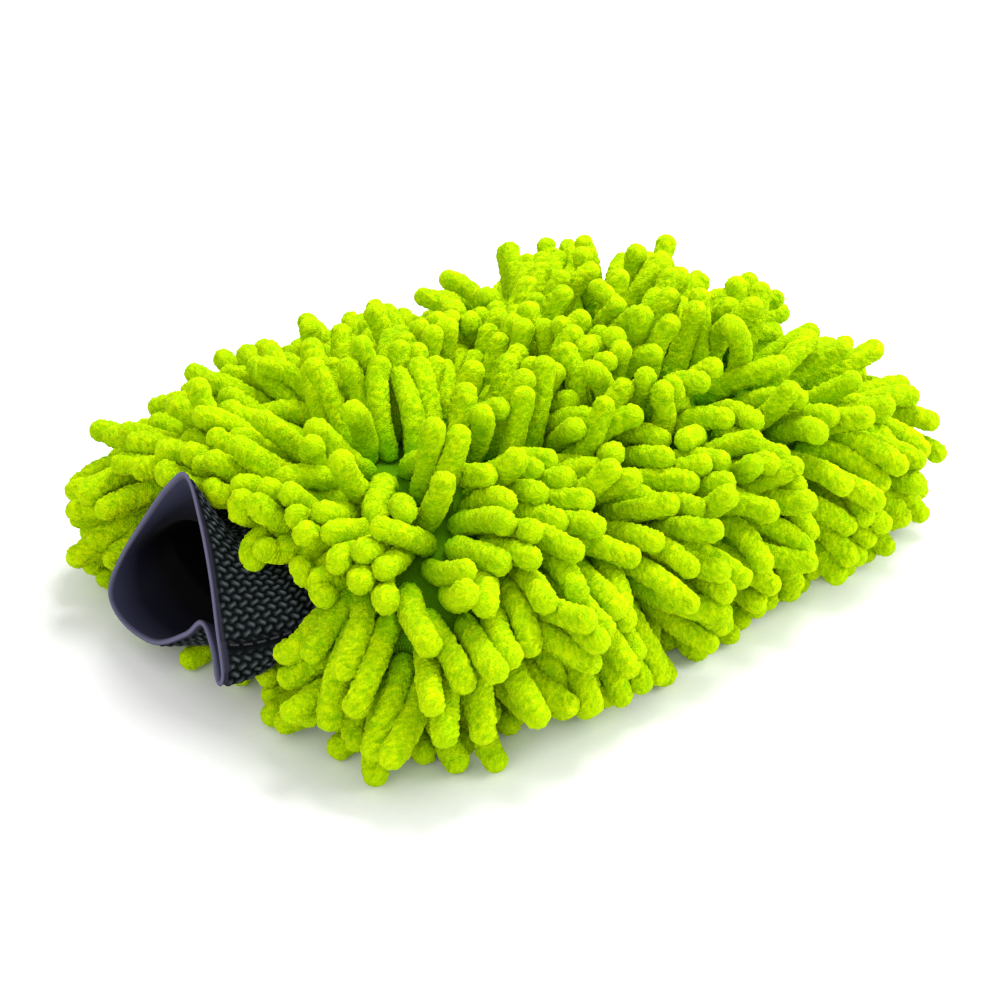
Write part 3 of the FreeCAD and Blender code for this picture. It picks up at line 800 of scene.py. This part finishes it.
def thread_material(name, colour):
    """Twisted sewing thread."""
    material, tree, shader = new_material(name, colour, 0.6)
    places = object_places(tree)
    twist = add_node(tree, "ShaderNodeTexWave", Vector=places, Scale=700.0, Distortion=0.5)
    twist.bands_direction = "DIAGONAL"
    shade = colour_ramp(tree, twist.outputs["Fac"],
                        ((0.0, tuple(0.6 * c for c in colour)), (1.0, colour)))
    tree.links.new(shade, shader.inputs["Base Color"])
    bump(tree, shader, twist.outputs["Fac"], 0.4, 0.1 * MM)
    return material


# ---- fabric panels ----

PANEL_VOXEL = 1.0 * MM
PUCKER = 0.5 * MM            # how far the cloth is drawn in at a noodle's root
PUCKER_REACH = 2.5 * MM


def applied_copy(name, source, modifiers):
    """A new object with the source mesh and the modifiers' result made real."""
    thing = bpy.data.objects.new(name, source.data.copy())
    bpy.context.scene.collection.objects.link(thing)
    for kind, values in modifiers:
        modifier = thing.modifiers.new(kind.title(), kind)
        for key, value in values.items():
            setattr(modifier, key, value)
    graph = bpy.context.evaluated_depsgraph_get()
    mesh = bpy.data.meshes.new_from_object(thing.evaluated_get(graph))
    thing.modifiers.clear()
    thing.data = mesh
    return thing


def panel_piece(node, material, roots):
    """A fabric panel on its CAD solid's place, drawn in a little where noodles are sewn."""
    panel = applied_copy(node + "_cloth", frame["nodes"][node], [
        ("REMESH", {"mode": "VOXEL", "voxel_size": PANEL_VOXEL, "use_smooth_shade": True}),
        ("SMOOTH", {"factor": 0.5, "iterations": 2})])
    mesh = panel.data
    if roots is not None:
        tree = kdtree.KDTree(len(roots))
        for index, root in enumerate(roots):
            tree.insert(root, index)
        tree.balance()
        places = np.empty(len(mesh.vertices) * 3)
        mesh.vertices.foreach_get("co", places)
        places = places.reshape(-1, 3)
        normals = np.empty(len(mesh.vertices) * 3)
        mesh.vertices.foreach_get("normal", normals)
        distance = np.array([tree.find(place)[2] for place in places])
        dent = PUCKER * np.exp(-(distance / PUCKER_REACH) ** 2)
        places -= normals.reshape(-1, 3) * dent[:, None]
        mesh.vertices.foreach_set("co", places.ravel())
        mesh.update()
    mesh.materials.clear()
    mesh.materials.append(material)
    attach(panel, BODY)
    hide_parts(node)
    return panel


# ---- cuff ----

# The cuff's free edge, as (y, z) in its leaning plane with z from the seam: the same
# outline as the CAD cuff's, at mid thickness, in millimetres.
CUFF_LIP = [
    (7.0, 37.0), (-2.5, 26.5), (-10.5, 13.0), (-17.0, -2.0), (-22.5, -14.5),
    (-20.5, -18.0), (-15.5, -9.0), (-9.0, -4.0), (-1.5, -11.5), (14.0, -21.5),
    (32.0, -23.0), (41.5, -17.0), (37.5, -3.0), (26.5, 15.0), (15.5, 30.5),
]
CUFF_THICKNESS = 2.0 * MM
CUFF_TUCK_X = MOUTH_X + 6.0 * MM
COLLAR_X = MOUTH_X - 8.0 * MM
COLLAR_SHARE = (CUFF_TUCK_X - COLLAR_X) / (CUFF_TUCK_X - LIP_X)
COLLAR_PLACES = 64
CUFF_AROUND = 644
CUFF_ALONG = 84
BRICKS_AROUND = 92
BRICK_LENGTH = 3.5 * MM
BRICK_HEIGHT = 1.05 * MM
SELVEDGE = 1.1 * MM
LAP_AT = 0.24
CUFF_SAG = 3.0 * MM
LAP_WIDTH = 9.0 * MM
LAP_STEP = 0.8 * MM
LAP_STITCHES_AT = 0.25
LAP_RISE = 0.3 * MM          # half of the length over which the lap steps up
STITCH_DENT = 1.3 * MM       # reach of the stitches' pull on the bricks
AROUND_LENGTH = 0.2          # of the elastic, for places round it, in metres
RIB_SINK = 0.45 * MM         # of the weave's ground below the nominal face
BRICK_TILT = 0.17
ROLL_ANGLES = np.linspace(-60, 60, 5)
# How much painted lavender highlight each ring of the roll gets, most on its crest.
ROLL_HIGHLIGHT = np.array([0.35, 0.9, 1.0, 0.7, 0.5])


def closed_samples(points, count):
    """Points at equal distances on a smooth closed curve through the given ones."""
    points = np.asarray(points, float)
    number = len(points)
    fine = np.linspace(0, number, 40 * number, endpoint=False)
    index = fine.astype(int)
    t = (fine - index)[:, None]
    p0, p1, p2, p3 = (points[(index + k) % number] for k in (-1, 0, 1, 2))
    curve = 0.5 * (2 * p1 + (p2 - p0) * t + (2 * p0 - 5 * p1 + 4 * p2 - p3) * t ** 2
                   + (3 * p1 - p0 - 3 * p2 + p3) * t ** 3)
    steps = np.linalg.norm(np.roll(curve, -1, 0) - curve, axis=1)
    distance = np.concatenate([[0], np.cumsum(steps)])
    around = np.concatenate([curve, curve[:1]])
    wanted = np.arange(count) / count * distance[-1]
    return np.stack([np.interp(wanted, distance, around[:, axis]) for axis in range(3)], 1)


def smooth_share(value, low, high):
    """0 below low, 1 above high, and smooth between."""
    share = np.clip((value - low) / (high - low), 0, 1)
    return share * share * (3 - 2 * share)


class CuffSurface:
    """The elastic's mid surface, from inside the body's mouth (0) to the free edge (1)."""

    def __init__(self):
        lip = [(LIP_X + z * MM * math.sin(LIP_TILT), y * MM, SEAM_Z + z * MM * math.cos(LIP_TILT))
               for y, z in CUFF_LIP]
        self.lip = closed_samples(lip, CUFF_AROUND)
        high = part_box("cuff_band")[1]
        tuck_places = node_arrays("cuff_band")[0]
        end = tuck_places[tuck_places[:, 0] > high.x - 0.05 * MM]
        half_width = end[:, 1].max() - CUFF_THICKNESS / 2
        half_height = (end[:, 2].max() - end[:, 2].min()) / 2 - CUFF_THICKNESS / 2
        self.half_height = half_height
        turn = np.arange(COLLAR_PLACES) / COLLAR_PLACES * 2 * math.pi
        oval = [np.zeros(COLLAR_PLACES), -half_width * np.sin(turn),
                SEAM_Z + half_height * np.cos(turn)]
        self.collar = closed_samples(np.stack(oval, 1), CUFF_AROUND)

    def loop(self, share):
        """Mid-thickness loop at a share of the way out."""
        x_tuck = CUFF_TUCK_X + (COLLAR_X - CUFF_TUCK_X) * min(1.0, share / COLLAR_SHARE)
        loop = self.collar.copy()
        loop[:, 0] = x_tuck
        out = max(0.0, (share - COLLAR_SHARE) / (1 - COLLAR_SHARE))
        place = loop + (self.lip - loop) * out ** 1.15
        depth = np.clip((SEAM_Z - place[:, 2]) / self.half_height, 0, 1)
        place[:, 2] -= CUFF_SAG * math.sin(math.pi * out) * depth
        return place


def loop_normals(loop):
    """Ways out of a loop, square to it."""
    along = np.roll(loop, -1, 0) - np.roll(loop, 1, 0)
    centre = loop.mean(0)
    around = np.cross(loop - centre, np.roll(loop, -1, 0) - centre).sum(0)
    return unit(np.cross(unit(along), unit(around)[None]))


def brick_rib(around, out):
    """Height of the staggered bricks, 0 to 1, by place round the cuff and distance out."""
    column = around * BRICKS_AROUND + BRICK_TILT * np.sin(2 * math.pi * out / BRICK_LENGTH)
    stagger = 0.5 * (np.floor(column) % 2)
    row = out / BRICK_LENGTH + stagger
    across = np.abs(column - np.floor(column) - 0.5) * 2
    lengthwise = np.abs(row - np.floor(row) - 0.5) * 2
    round_across = np.sqrt(np.clip(1 - (across / 0.96) ** 2.0, 0, 1))
    round_along = np.sqrt(np.clip(1 - (lengthwise / 0.97) ** 2.4, 0, 1))
    return round_across * round_along


def cuff_piece(material):
    """The elastic loop: ribbed outside, smooth inside, with a rolled selvedge and a lap."""
    surface = CuffSurface()
    shares = np.linspace(0, 1, CUFF_ALONG)
    loops = np.array([surface.loop(share) for share in shares])
    normals = np.array([loop_normals(loop) for loop in loops])
    out = np.concatenate([np.zeros((1, CUFF_AROUND)),
                          np.cumsum(np.linalg.norm(np.diff(loops, axis=0), axis=2), axis=0)])
    to_edge = out[-1][None] - out
    around = np.broadcast_to(np.arange(CUFF_AROUND) / CUFF_AROUND, out.shape)
    rib = brick_rib(around, to_edge - SELVEDGE)
    rib *= smooth_share(to_edge, SELVEDGE * 0.8, SELVEDGE * 1.1)
    lap_offset = (around - LAP_AT) * AROUND_LENGTH
    lap = (smooth_share(lap_offset, -LAP_RISE, LAP_RISE)
           * (1 - smooth_share(lap_offset, LAP_WIDTH - 0.5 * MM, LAP_WIDTH)))
    half = CUFF_THICKNESS / 2
    from_stitches = (around - LAP_STITCHES_AT) * AROUND_LENGTH
    rib *= 1 - 0.85 * np.exp(-(from_stitches / STITCH_DENT) ** 2)
    outer = loops + normals * (half - RIB_SINK + BRICK_HEIGHT * rib + LAP_STEP * lap)[..., None]
    # Nearness to the free edge, for the painted highlight there.
    edge = smooth_share(-to_edge, -SELVEDGE, -SELVEDGE * 0.6)
    inner = (loops - normals * half)[:, ::2]
    roll_way = unit(loops[-1] - loops[-2])
    rolls = []
    for angle in ROLL_ANGLES:
        swing = math.radians(angle)
        rolls.append(loops[-1] + roll_way * 0.75 * half * math.cos(swing)
                     - normals[-1] * half * math.sin(swing))
    grid = np.concatenate([outer, np.array(rolls)])
    inner_full = np.repeat(inner[::-1], 2, axis=1)
    inner_full[:, 1::2] = (inner[::-1] + np.roll(inner[::-1], -1, axis=1)) / 2
    grid = np.concatenate([grid, inner_full[::3]])
    rows = len(grid)
    rib_value = np.zeros((rows, CUFF_AROUND))
    rib_value[:CUFF_ALONG] = rib
    # How much painted lavender highlight each row gets: a little near the edge, most on the roll's
    # crest.
    edge_highlight = np.zeros((rows, CUFF_AROUND))
    edge_highlight[:CUFF_ALONG] = 0.22 * edge
    roll_end = CUFF_ALONG + len(ROLL_ANGLES)
    edge_highlight[CUFF_ALONG:roll_end] = ROLL_HIGHLIGHT[:, None]
    edge_highlight[roll_end] = 0.4
    # Depth into the cuff's inner face, which the painted shade inside follows.
    inside = np.zeros((rows, CUFF_AROUND))
    inside[roll_end + 1:] = np.linspace(0.03, 1, rows - roll_end - 1)[:, None]
    ring, side = np.meshgrid(np.arange(rows), np.arange(CUFF_AROUND), indexing="ij")
    after = (side + 1) % CUFF_AROUND
    below = (ring + 1) % rows
    quads = np.stack([ring * CUFF_AROUND + side, ring * CUFF_AROUND + after,
                      below * CUFF_AROUND + after, below * CUFF_AROUND + side], -1).reshape(-1, 4)
    u = np.stack([side, side + 1, side + 1, side], -1).reshape(-1, 4) / CUFF_AROUND
    v = np.stack([ring, ring, ring + 1, ring + 1], -1).reshape(-1, 4) / rows
    cuff = new_mesh_object(
        "cuff_elastic", grid.reshape(-1, 3), quads[:, ::-1], np.zeros((0, 3), int),
        {"rib": rib_value, "edge": edge_highlight, "inside": inside},
        np.stack([u[:, ::-1].ravel(), v[:, ::-1].ravel()], 1) * 0.98 + 0.01)
    cuff.data.materials.append(material)
    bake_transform(cuff)
    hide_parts("cuff_band")


# ---- light, floor and camera ----

CAMERA_AT = (-352.6 * MM, -385.7 * MM, 318.6 * MM)
CAMERA_LOOKS_AT = (-30.3 * MM, -25.8 * MM, 36.4 * MM)
CAMERA_LENS = 61.85          # in millimetres, on a sensor 36 mm wide
LIGHTS = (                   # name, place, what it looks at, size in metres and power
    ("key", (0.38, 0.12, 0.88), (0.02, 0, 0.03), 0.55, 10.2),
    ("fill", (-0.9, -0.5, 0.55), (0, 0, 0.03), 0.9, 4.0),
    ("side", (0.7, -0.7, 0.45), (0, 0, 0.03), 0.7, 8.0),
)
STUDIO_BRIGHTNESS = 0.84
FLOOR_REACH = 3.0            # metres each way


def placed(name, data, place, looks_at):
    """A camera or a light in the scene, turned to what it looks at."""
    thing = bpy.data.objects.new(name, data)
    thing.location = place
    way = Vector(looks_at) - Vector(place)
    thing.rotation_euler = way.to_track_quat("-Z", "Y").to_euler()
    bpy.context.scene.collection.objects.link(thing)
    return thing


def make_camera():
    """The camera, at the angle from which the mitt is shown."""
    data = bpy.data.cameras.new("camera")
    data.sensor_width = 36.0
    data.lens = CAMERA_LENS
    bpy.context.scene.camera = placed("camera", data, CAMERA_AT, CAMERA_LOOKS_AT)


def make_light():
    """A key above, a wide fill and a side light in an even white studio."""
    for name, place, looks_at, size, power in LIGHTS:
        data = bpy.data.lights.new(name, "AREA")
        data.shape = "DISK"
        data.size = size
        data.energy = power
        placed(name, data, place, looks_at)
    world = bpy.data.worlds.new("studio")
    world.use_nodes = True
    world.node_tree.nodes["Background"].inputs["Color"].default_value = (1, 1, 1, 1)
    world.node_tree.nodes["Background"].inputs["Strength"].default_value = STUDIO_BRIGHTNESS
    bpy.context.scene.world = world
    bpy.context.scene.view_settings.view_transform = "Standard"


def make_floor():
    """A wide flat pale floor."""
    mesh = bpy.data.meshes.new("floor")
    corners = [(-FLOOR_REACH, -FLOOR_REACH, 0), (FLOOR_REACH, -FLOOR_REACH, 0),
               (FLOOR_REACH, FLOOR_REACH, 0), (-FLOOR_REACH, FLOOR_REACH, 0)]
    mesh.from_pydata(corners, [], [(0, 1, 2, 3)])
    floor = bpy.data.objects.new("floor", mesh)
    bpy.context.scene.collection.objects.link(floor)
    material, tree, shader = new_material("floor_paper", (0.86, 0.86, 0.86), 0.7)
    grain = add_node(tree, "ShaderNodeTexNoise", Vector=object_places(tree), Scale=600.0)
    shade = colour_ramp(tree, grain.outputs["Fac"],
                        ((0.0, (0.84, 0.84, 0.84)), (1.0, (0.88, 0.88, 0.88))))
    tree.links.new(shade, shader.inputs["Base Color"])
    floor.data.materials.append(material)


# ---- the mitt ----

OVER_CUFF_WIDTH = 46.0 * MM  # half width within which noodles ahead of the mouth bend with it


def main():
    """The whole scene, piece by piece."""
    make_camera()
    make_light()
    make_floor()
    noodles = Noodles()
    chenille = chenille_material()
    numbers = np.arange(noodles.count)
    over_cuff = ((noodles.lines[:, :, 0].min(1) < MOUTH_X - 2 * MM)
                 & (np.abs(noodles.roots[:, 1]) < OVER_CUFF_WIDTH))
    for row in TOP_ROWS + BOTTOM_ROWS:
        in_row = noodles.rows == row
        standing = noodle_piece(row + "_chenille", noodles, numbers[in_row & ~over_cuff])
        standing.data.materials.append(chenille)
        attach(standing, BODY)
        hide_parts(row)
        if (in_row & over_cuff).any():
            mane = noodle_piece(row + "_over_cuff", noodles, numbers[in_row & over_cuff])
            mane.data.materials.append(chenille)
            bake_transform(mane)
            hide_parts(row)
    knit = knit_material("backing_knit", (0.17, 0.40, 0.002), (0.06, 0.19, 0.001))
    lining = knit_material("lining_tricot", (0.26, 0.46, 0.02), (0.14, 0.28, 0.01))
    green_thread = thread_material("lime_thread", (0.22, 0.42, 0.01))
    for node in ("top_backing", "bottom_backing"):
        panel_piece(node, knit, noodles.roots)
    for node in ("top_lining", "bottom_lining"):
        panel_piece(node, lining, None)
    overlock = panel_piece("perimeter_overlock", green_thread, None)
    cuff_piece(elastic_material())
    dark_thread = thread_material("navy_thread", (0.035, 0.038, 0.05))
    for node, thread in (("mouth_stitching", green_thread), ("cuff_lap_stitching", dark_thread)):
        for slot in frame["nodes"][node].material_slots:
            slot.material = thread


main()
